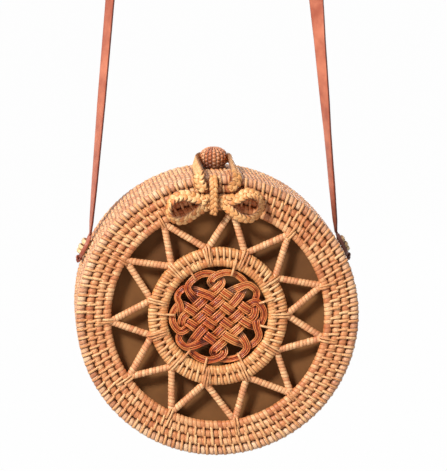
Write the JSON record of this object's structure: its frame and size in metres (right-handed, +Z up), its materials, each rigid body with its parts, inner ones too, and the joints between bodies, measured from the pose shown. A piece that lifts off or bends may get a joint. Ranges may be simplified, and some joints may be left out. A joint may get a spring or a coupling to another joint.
{
  "type": "circle bag",
  "caption": "Round coiled rattan shoulder bag with a hinged openwork star lid, a plaited centre knot, a braided bow and closing loop, and a long leather strap.",
  "frame": {"origin": "middle of the underside of the strap's crown, where the bag hangs", "axes": "+Z up, -Y out of the openwork front, +X to the right of someone looking at the front"},
  "size_m": [0.2034, 0.0891, 0.7226],
  "materials": {
    "rattan": "satin",
    "pale_rattan": "satin",
    "dark_rattan": "satin",
    "leather": "satin",
    "lining": "matte"
  },
  "bodies": {
    "strap": {"shoulder_strap": "leather"},
    "back_shell": {"back_face": "rattan", "back_wall": "rattan", "back_lining": "lining", "back_wall_lining": "lining", "knob": "dark_rattan", "knob_peg": "rattan", "lug_left": "rattan", "lug_right": "rattan", "strap_end_left": "leather", "strap_end_right": "leather", "bottom_tie_left": "pale_rattan", "bottom_tie_right": "pale_rattan"},
    "lid": {"lid_ring": "rattan", "lid_wall": "rattan", "lid_lining": "lining", "lid_wall_lining": "lining", "inner_ring": "rattan", "star_rod_01": "rattan", "star_rod_02": "rattan", "star_rod_03": "rattan", "star_rod_04": "rattan", "star_rod_05": "rattan", "star_rod_06": "rattan", "star_rod_07": "rattan", "star_rod_08": "rattan", "star_rod_09": "rattan", "star_rod_10": "rattan", "star_rod_11": "rattan", "star_rod_12": "rattan", "star_rod_13": "rattan", "star_rod_14": "rattan", "star_rod_15": "rattan", "star_rod_16": "rattan", "star_rod_17": "rattan", "star_rod_18": "rattan", "star_rod_19": "rattan", "star_rod_20": "rattan", "star_rod_21": "rattan", "star_rod_22": "rattan", "outer_lashings": "pale_rattan", "inner_lashings": "pale_rattan", "centre_knot": "dark_rattan", "knot_ties": "pale_rattan", "bow_loop_left": "pale_rattan", "bow_loop_right": "pale_rattan", "bow_knot": "pale_rattan", "bow_wrap": "pale_rattan"},
    "loop": {"closure_loop": "pale_rattan"}
  },
  "joints": [
    {"name": "bag_swing", "type": "hinge", "parent": "strap", "child": "back_shell", "pos_m": [0, 0, -0.5621], "axis": [1, 0, 0], "range_deg": [-60, 60]},
    {"name": "lid_hinge", "type": "hinge", "parent": "back_shell", "child": "lid", "pos_m": [0, -0.011, -0.71569], "axis": [1, 0, 0], "range_deg": [0, 100], "deforming": ["closure_loop"]},
    {"name": "loop_lift", "type": "hinge", "parent": "lid", "child": "loop", "pos_m": [-0.001, -0.05355, -0.52509], "axis": [1, 0, 0], "range_deg": [0, 75]}
  ]
}
